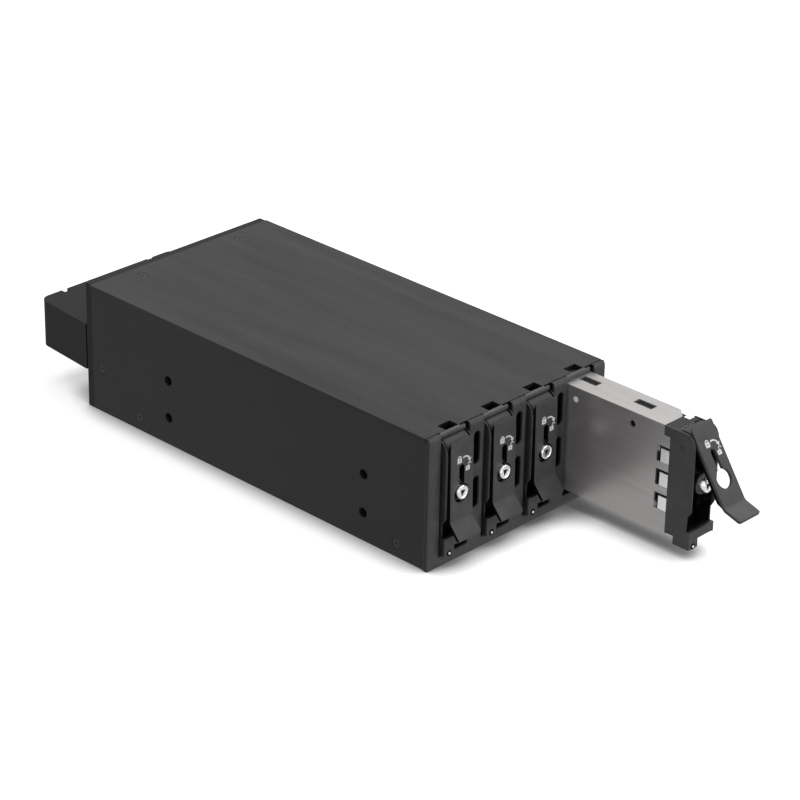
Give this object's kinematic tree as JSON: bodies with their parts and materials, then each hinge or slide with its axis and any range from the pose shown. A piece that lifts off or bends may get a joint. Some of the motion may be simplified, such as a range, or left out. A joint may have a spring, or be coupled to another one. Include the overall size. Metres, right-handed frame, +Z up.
{
  "type": "hot swap drive cage",
  "caption": "Low black metal drive cage with upright lockable drive trays side by side, one tray pulled out with its latch lever open, and an air outlet hood at the rear.",
  "frame": {"origin": "middle of the underside of the box, halfway between its front edge and its rear face", "axes": "+Z up, +Y to the rear, +X to the right seen from the front; the trays pull out along -Y"},
  "size_m": [0.0706, 0.2246, 0.0399],
  "materials": {
    "brushed_cover": "lengthwise brushed black anodised",
    "side_paint": "smooth black paint",
    "frame_plastic": "satin black",
    "end_plastic": "satin black",
    "guide_plastic": "matte black",
    "bezel_plastic": "satin black",
    "lever_plastic": "satin dark grey with white pictograms",
    "tray_steel": "plain zinc plated sheet",
    "circuit_board": "green solder mask",
    "connector_plastic": "black moulding",
    "wheel_plastic": "black moulding",
    "dark_screw": "black oxide with worn recess",
    "drive_screw": "plain steel",
    "pin_steel": "plain steel",
    "lock_chrome": "polished",
    "light_pipe": "clear moulding"
  },
  "bodies": {
    "cage": {"left_side_panel": "side_paint", "right_side_panel": "side_paint", "bottom_plate": "side_paint", "top_cover": "brushed_cover", "front_frame": "frame_plastic", "rear_frame": "end_plastic", "rear_panel": "side_paint", "rear_hood": "end_plastic", "backplane_board": "circuit_board", "bay_connectors": "connector_plastic", "io_board": "circuit_board", "data_sockets": "connector_plastic", "power_socket": "connector_plastic", "lower_guide": "guide_plastic", "upper_guide": "guide_plastic", "left_blower_case": "guide_plastic", "right_blower_case": "guide_plastic", "blower_posts": "guide_plastic", "cover_screws": "dark_screw", "side_screws": "dark_screw", "hood_screws": "dark_screw"},
    "left_blower_wheel": {"left_blower_wheel": "wheel_plastic"},
    "right_blower_wheel": {"right_blower_wheel": "wheel_plastic"},
    "tray_1": {"tray_1_chassis": "tray_steel", "tray_1_bezel": "bezel_plastic", "tray_1_hinge_pin": "pin_steel", "tray_1_light_pipe": "light_pipe", "tray_1_board": "circuit_board", "tray_1_sockets": "connector_plastic", "tray_1_screws": "drive_screw"},
    "tray_1_lever": {"tray_1_lever": "lever_plastic"},
    "tray_1_lock": {"tray_1_lock": "lock_chrome"},
    "tray_2": {"tray_2_chassis": "tray_steel", "tray_2_bezel": "bezel_plastic", "tray_2_hinge_pin": "pin_steel", "tray_2_light_pipe": "light_pipe", "tray_2_board": "circuit_board", "tray_2_sockets": "connector_plastic", "tray_2_screws": "drive_screw"},
    "tray_2_lever": {"tray_2_lever": "lever_plastic"},
    "tray_2_lock": {"tray_2_lock": "lock_chrome"},
    "tray_3": {"tray_3_chassis": "tray_steel", "tray_3_bezel": "bezel_plastic", "tray_3_hinge_pin": "pin_steel", "tray_3_light_pipe": "light_pipe", "tray_3_board": "circuit_board", "tray_3_sockets": "connector_plastic", "tray_3_screws": "drive_screw"},
    "tray_3_lever": {"tray_3_lever": "lever_plastic"},
    "tray_3_lock": {"tray_3_lock": "lock_chrome"},
    "tray_4": {"tray_4_chassis": "tray_steel", "tray_4_bezel": "bezel_plastic", "tray_4_hinge_pin": "pin_steel", "tray_4_light_pipe": "light_pipe", "tray_4_board": "circuit_board", "tray_4_sockets": "connector_plastic", "tray_4_screws": "drive_screw"},
    "tray_4_lever": {"tray_4_lever": "lever_plastic"},
    "tray_4_lock": {"tray_4_lock": "lock_chrome"}
  },
  "joints": [
    {"name": "left_blower_spin", "type": "hinge", "parent": "cage", "child": "left_blower_wheel", "pos_m": [-0.0219, 0.0573, 0.0184], "axis": [0, 0, 1], "continuous": true},
    {"name": "right_blower_spin", "type": "hinge", "parent": "cage", "child": "right_blower_wheel", "pos_m": [-0.0011, 0.0573, 0.0184], "axis": [0, 0, 1], "continuous": true},
    {"name": "tray_1_slide", "type": "slide", "parent": "cage", "child": "tray_1", "axis": [0, -1, 0], "range_m": [0, 0.105]},
    {"name": "tray_1_lever_hinge", "type": "hinge", "parent": "tray_1", "child": "tray_1_lever", "pos_m": [-0.0252, -0.0684, 0.0334], "axis": [-1, 0, 0], "range_deg": [0, 33]},
    {"name": "tray_1_lock_turn", "type": "hinge", "parent": "tray_1", "child": "tray_1_lock", "pos_m": [-0.0252, -0.0693, 0.0221], "axis": [0, -1, 0], "range_deg": [0, 90]},
    {"name": "tray_2_slide", "type": "slide", "parent": "cage", "child": "tray_2", "axis": [0, -1, 0], "range_m": [0, 0.105]},
    {"name": "tray_2_lever_hinge", "type": "hinge", "parent": "tray_2", "child": "tray_2_lever", "pos_m": [-0.0084, -0.0684, 0.0334], "axis": [-1, 0, 0], "range_deg": [0, 33]},
    {"name": "tray_2_lock_turn", "type": "hinge", "parent": "tray_2", "child": "tray_2_lock", "pos_m": [-0.0084, -0.0693, 0.0221], "axis": [0, -1, 0], "range_deg": [0, 90]},
    {"name": "tray_3_slide", "type": "slide", "parent": "cage", "child": "tray_3", "axis": [0, -1, 0], "range_m": [0, 0.105]},
    {"name": "tray_3_lever_hinge", "type": "hinge", "parent": "tray_3", "child": "tray_3_lever", "pos_m": [0.0084, -0.0684, 0.0334], "axis": [-1, 0, 0], "range_deg": [0, 33]},
    {"name": "tray_3_lock_turn", "type": "hinge", "parent": "tray_3", "child": "tray_3_lock", "pos_m": [0.0084, -0.0693, 0.0221], "axis": [0, -1, 0], "range_deg": [0, 90]},
    {"name": "tray_4_slide", "type": "slide", "parent": "cage", "child": "tray_4", "axis": [0, -1, 0], "range_m": [-0.0433, 0.0617]},
    {"name": "tray_4_lever_hinge", "type": "hinge", "parent": "tray_4", "child": "tray_4_lever", "pos_m": [0.0252, -0.1117, 0.0334], "axis": [-1, 0, 0], "range_deg": [-33, 0]},
    {"name": "tray_4_lock_turn", "type": "hinge", "parent": "tray_4", "child": "tray_4_lock", "pos_m": [0.0252, -0.1126, 0.0221], "axis": [0, -1, 0], "range_deg": [0, 90]}
  ]
}
